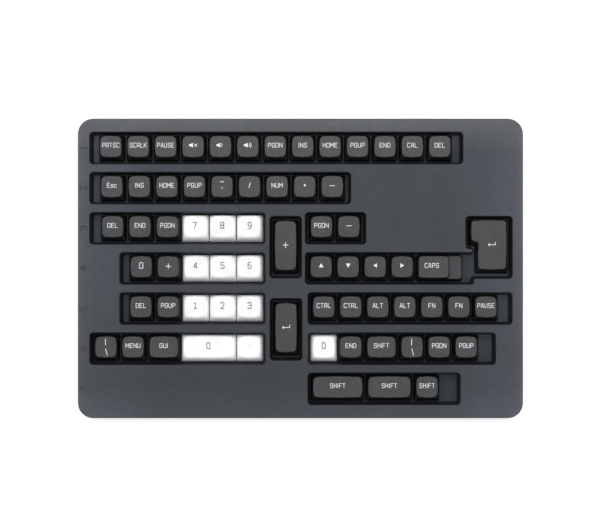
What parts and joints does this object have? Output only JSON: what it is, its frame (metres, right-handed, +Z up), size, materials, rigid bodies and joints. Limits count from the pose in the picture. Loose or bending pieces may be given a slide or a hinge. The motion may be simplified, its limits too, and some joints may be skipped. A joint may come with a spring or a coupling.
{
  "type": "keycap set in a storage tray",
  "caption": "Flat formed storage tray with drafted pockets in rows, holding dark and white hollow keycaps that lift out one by one.",
  "frame": {"origin": "centre of the tray on the surface it stands on", "axes": "+X to the right along the long side, +Y to the back row of caps, +Z up out of the pockets"},
  "size_m": [0.304, 0.205, 0.0105],
  "materials": {
    "tray_sheet": "satin dark grey formed sheet",
    "cap_dark": "fine matte texture, dark grey",
    "cap_white": "fine matte texture, white"
  },
  "bodies": {
    "storage_tray": {"storage_tray": "tray_sheet"},
    "key_print_screen": {"key_print_screen": "cap_dark"},
    "key_scroll_lock": {"key_scroll_lock": "cap_dark"},
    "key_pause_back": {"key_pause_back": "cap_dark"},
    "key_mute": {"key_mute": "cap_dark"},
    "keys_volume": {"keys_volume": "cap_dark"},
    "key_page_down_back": {"key_page_down_back": "cap_dark"},
    "key_insert_back": {"key_insert_back": "cap_dark"},
    "key_home_back": {"key_home_back": "cap_dark"},
    "key_page_up_back": {"key_page_up_back": "cap_dark"},
    "key_end_back": {"key_end_back": "cap_dark"},
    "key_calculator": {"key_calculator": "cap_dark"},
    "key_delete_back": {"key_delete_back": "cap_dark"},
    "key_escape": {"key_escape": "cap_dark"},
    "key_insert": {"key_insert": "cap_dark"},
    "key_home": {"key_home": "cap_dark"},
    "key_page_up": {"key_page_up": "cap_dark"},
    "key_tilde": {"key_tilde": "cap_dark"},
    "key_divide": {"key_divide": "cap_dark"},
    "key_num_lock": {"key_num_lock": "cap_dark"},
    "key_multiply": {"key_multiply": "cap_dark"},
    "key_minus": {"key_minus": "cap_dark"},
    "key_delete": {"key_delete": "cap_dark"},
    "key_end": {"key_end": "cap_dark"},
    "key_page_down": {"key_page_down": "cap_dark"},
    "keys_789": {"keys_789": "cap_white"},
    "key_page_down_spare": {"key_page_down_spare": "cap_dark"},
    "key_minus_spare": {"key_minus_spare": "cap_dark"},
    "key_zero_dark": {"key_zero_dark": "cap_dark"},
    "key_plus_short": {"key_plus_short": "cap_dark"},
    "keys_456": {"keys_456": "cap_white"},
    "key_arrow_up": {"key_arrow_up": "cap_dark"},
    "key_arrow_down": {"key_arrow_down": "cap_dark"},
    "key_arrow_left": {"key_arrow_left": "cap_dark"},
    "key_arrow_right": {"key_arrow_right": "cap_dark"},
    "key_caps_lock": {"key_caps_lock": "cap_dark"},
    "key_delete_low": {"key_delete_low": "cap_dark"},
    "key_page_up_low": {"key_page_up_low": "cap_dark"},
    "keys_123": {"keys_123": "cap_white"},
    "keys_control": {"keys_control": "cap_dark"},
    "keys_alt": {"keys_alt": "cap_dark"},
    "keys_fn": {"keys_fn": "cap_dark"},
    "key_pause": {"key_pause": "cap_dark"},
    "key_backslash": {"key_backslash": "cap_dark"},
    "key_menu": {"key_menu": "cap_dark"},
    "key_gui": {"key_gui": "cap_dark"},
    "key_zero_wide": {"key_zero_wide": "cap_white"},
    "key_point": {"key_point": "cap_white"},
    "key_zero": {"key_zero": "cap_white"},
    "key_end_low": {"key_end_low": "cap_dark"},
    "key_shift_short": {"key_shift_short": "cap_dark"},
    "key_backslash_spare": {"key_backslash_spare": "cap_dark"},
    "key_page_down_low": {"key_page_down_low": "cap_dark"},
    "key_page_up_front": {"key_page_up_front": "cap_dark"},
    "key_shift_long": {"key_shift_long": "cap_dark"},
    "key_shift_medium": {"key_shift_medium": "cap_dark"},
    "key_shift_1u": {"key_shift_1u": "cap_dark"},
    "key_plus_tall": {"key_plus_tall": "cap_dark"},
    "key_enter_tall": {"key_enter_tall": "cap_dark"},
    "key_enter_iso": {"key_enter_iso": "cap_dark"}
  },
  "joints": [
    {"name": "print_screen_lift", "type": "slide", "parent": "storage_tray", "child": "key_print_screen", "axis": [0, 0, 1], "range_m": [0, 0.025]},
    {"name": "scroll_lock_lift", "type": "slide", "parent": "storage_tray", "child": "key_scroll_lock", "axis": [0, 0, 1], "range_m": [0, 0.025]},
    {"name": "pause_back_lift", "type": "slide", "parent": "storage_tray", "child": "key_pause_back", "axis": [0, 0, 1], "range_m": [0, 0.025]},
    {"name": "mute_lift", "type": "slide", "parent": "storage_tray", "child": "key_mute", "axis": [0, 0, 1], "range_m": [0, 0.025]},
    {"name": "volume_lift", "type": "slide", "parent": "storage_tray", "child": "keys_volume", "axis": [0, 0, 1], "range_m": [0, 0.025]},
    {"name": "page_down_back_lift", "type": "slide", "parent": "storage_tray", "child": "key_page_down_back", "axis": [0, 0, 1], "range_m": [0, 0.025]},
    {"name": "insert_back_lift", "type": "slide", "parent": "storage_tray", "child": "key_insert_back", "axis": [0, 0, 1], "range_m": [0, 0.025]},
    {"name": "home_back_lift", "type": "slide", "parent": "storage_tray", "child": "key_home_back", "axis": [0, 0, 1], "range_m": [0, 0.025]},
    {"name": "page_up_back_lift", "type": "slide", "parent": "storage_tray", "child": "key_page_up_back", "axis": [0, 0, 1], "range_m": [0, 0.025]},
    {"name": "end_back_lift", "type": "slide", "parent": "storage_tray", "child": "key_end_back", "axis": [0, 0, 1], "range_m": [0, 0.025]},
    {"name": "calculator_lift", "type": "slide", "parent": "storage_tray", "child": "key_calculator", "axis": [0, 0, 1], "range_m": [0, 0.025]},
    {"name": "delete_back_lift", "type": "slide", "parent": "storage_tray", "child": "key_delete_back", "axis": [0, 0, 1], "range_m": [0, 0.025]},
    {"name": "escape_lift", "type": "slide", "parent": "storage_tray", "child": "key_escape", "axis": [0, 0, 1], "range_m": [0, 0.025]},
    {"name": "insert_lift", "type": "slide", "parent": "storage_tray", "child": "key_insert", "axis": [0, 0, 1], "range_m": [0, 0.025]},
    {"name": "home_lift", "type": "slide", "parent": "storage_tray", "child": "key_home", "axis": [0, 0, 1], "range_m": [0, 0.025]},
    {"name": "page_up_lift", "type": "slide", "parent": "storage_tray", "child": "key_page_up", "axis": [0, 0, 1], "range_m": [0, 0.025]},
    {"name": "tilde_lift", "type": "slide", "parent": "storage_tray", "child": "key_tilde", "axis": [0, 0, 1], "range_m": [0, 0.025]},
    {"name": "divide_lift", "type": "slide", "parent": "storage_tray", "child": "key_divide", "axis": [0, 0, 1], "range_m": [0, 0.025]},
    {"name": "num_lock_lift", "type": "slide", "parent": "storage_tray", "child": "key_num_lock", "axis": [0, 0, 1], "range_m": [0, 0.025]},
    {"name": "multiply_lift", "type": "slide", "parent": "storage_tray", "child": "key_multiply", "axis": [0, 0, 1], "range_m": [0, 0.025]},
    {"name": "minus_lift", "type": "slide", "parent": "storage_tray", "child": "key_minus", "axis": [0, 0, 1], "range_m": [0, 0.025]},
    {"name": "delete_lift", "type": "slide", "parent": "storage_tray", "child": "key_delete", "axis": [0, 0, 1], "range_m": [0, 0.025]},
    {"name": "end_lift", "type": "slide", "parent": "storage_tray", "child": "key_end", "axis": [0, 0, 1], "range_m": [0, 0.025]},
    {"name": "page_down_lift", "type": "slide", "parent": "storage_tray", "child": "key_page_down", "axis": [0, 0, 1], "range_m": [0, 0.025]},
    {"name": "789_lift", "type": "slide", "parent": "storage_tray", "child": "keys_789", "axis": [0, 0, 1], "range_m": [0, 0.025]},
    {"name": "page_down_spare_lift", "type": "slide", "parent": "storage_tray", "child": "key_page_down_spare", "axis": [0, 0, 1], "range_m": [0, 0.025]},
    {"name": "minus_spare_lift", "type": "slide", "parent": "storage_tray", "child": "key_minus_spare", "axis": [0, 0, 1], "range_m": [0, 0.025]},
    {"name": "zero_dark_lift", "type": "slide", "parent": "storage_tray", "child": "key_zero_dark", "axis": [0, 0, 1], "range_m": [0, 0.025]},
    {"name": "plus_short_lift", "type": "slide", "parent": "storage_tray", "child": "key_plus_short", "axis": [0, 0, 1], "range_m": [0, 0.025]},
    {"name": "456_lift", "type": "slide", "parent": "storage_tray", "child": "keys_456", "axis": [0, 0, 1], "range_m": [0, 0.025]},
    {"name": "arrow_up_lift", "type": "slide", "parent": "storage_tray", "child": "key_arrow_up", "axis": [0, 0, 1], "range_m": [0, 0.025]},
    {"name": "arrow_down_lift", "type": "slide", "parent": "storage_tray", "child": "key_arrow_down", "axis": [0, 0, 1], "range_m": [0, 0.025]},
    {"name": "arrow_left_lift", "type": "slide", "parent": "storage_tray", "child": "key_arrow_left", "axis": [0, 0, 1], "range_m": [0, 0.025]},
    {"name": "arrow_right_lift", "type": "slide", "parent": "storage_tray", "child": "key_arrow_right", "axis": [0, 0, 1], "range_m": [0, 0.025]},
    {"name": "caps_lock_lift", "type": "slide", "parent": "storage_tray", "child": "key_caps_lock", "axis": [0, 0, 1], "range_m": [0, 0.025]},
    {"name": "delete_low_lift", "type": "slide", "parent": "storage_tray", "child": "key_delete_low", "axis": [0, 0, 1], "range_m": [0, 0.025]},
    {"name": "page_up_low_lift", "type": "slide", "parent": "storage_tray", "child": "key_page_up_low", "axis": [0, 0, 1], "range_m": [0, 0.025]},
    {"name": "123_lift", "type": "slide", "parent": "storage_tray", "child": "keys_123", "axis": [0, 0, 1], "range_m": [0, 0.025]},
    {"name": "control_lift", "type": "slide", "parent": "storage_tray", "child": "keys_control", "axis": [0, 0, 1], "range_m": [0, 0.025]},
    {"name": "alt_lift", "type": "slide", "parent": "storage_tray", "child": "keys_alt", "axis": [0, 0, 1], "range_m": [0, 0.025]},
    {"name": "fn_lift", "type": "slide", "parent": "storage_tray", "child": "keys_fn", "axis": [0, 0, 1], "range_m": [0, 0.025]},
    {"name": "pause_lift", "type": "slide", "parent": "storage_tray", "child": "key_pause", "axis": [0, 0, 1], "range_m": [0, 0.025]},
    {"name": "backslash_lift", "type": "slide", "parent": "storage_tray", "child": "key_backslash", "axis": [0, 0, 1], "range_m": [0, 0.025]},
    {"name": "menu_lift", "type": "slide", "parent": "storage_tray", "child": "key_menu", "axis": [0, 0, 1], "range_m": [0, 0.025]},
    {"name": "gui_lift", "type": "slide", "parent": "storage_tray", "child": "key_gui", "axis": [0, 0, 1], "range_m": [0, 0.025]},
    {"name": "zero_wide_lift", "type": "slide", "parent": "storage_tray", "child": "key_zero_wide", "axis": [0, 0, 1], "range_m": [0, 0.025]},
    {"name": "point_lift", "type": "slide", "parent": "storage_tray", "child": "key_point", "axis": [0, 0, 1], "range_m": [0, 0.025]},
    {"name": "zero_lift", "type": "slide", "parent": "storage_tray", "child": "key_zero", "axis": [0, 0, 1], "range_m": [0, 0.025]},
    {"name": "end_low_lift", "type": "slide", "parent": "storage_tray", "child": "key_end_low", "axis": [0, 0, 1], "range_m": [0, 0.025]},
    {"name": "shift_short_lift", "type": "slide", "parent": "storage_tray", "child": "key_shift_short", "axis": [0, 0, 1], "range_m": [0, 0.025]},
    {"name": "backslash_spare_lift", "type": "slide", "parent": "storage_tray", "child": "key_backslash_spare", "axis": [0, 0, 1], "range_m": [0, 0.025]},
    {"name": "page_down_low_lift", "type": "slide", "parent": "storage_tray", "child": "key_page_down_low", "axis": [0, 0, 1], "range_m": [0, 0.025]},
    {"name": "page_up_front_lift", "type": "slide", "parent": "storage_tray", "child": "key_page_up_front", "axis": [0, 0, 1], "range_m": [0, 0.025]},
    {"name": "shift_long_lift", "type": "slide", "parent": "storage_tray", "child": "key_shift_long", "axis": [0, 0, 1], "range_m": [0, 0.025]},
    {"name": "shift_medium_lift", "type": "slide", "parent": "storage_tray", "child": "key_shift_medium", "axis": [0, 0, 1], "range_m": [0, 0.025]},
    {"name": "shift_1u_lift", "type": "slide", "parent": "storage_tray", "child": "key_shift_1u", "axis": [0, 0, 1], "range_m": [0, 0.025]},
    {"name": "plus_tall_lift", "type": "slide", "parent": "storage_tray", "child": "key_plus_tall", "axis": [0, 0, 1], "range_m": [0, 0.025]},
    {"name": "enter_tall_lift", "type": "slide", "parent": "storage_tray", "child": "key_enter_tall", "axis": [0, 0, 1], "range_m": [0, 0.025]},
    {"name": "enter_iso_lift", "type": "slide", "parent": "storage_tray", "child": "key_enter_iso", "axis": [0, 0, 1], "range_m": [0, 0.025]}
  ]
}
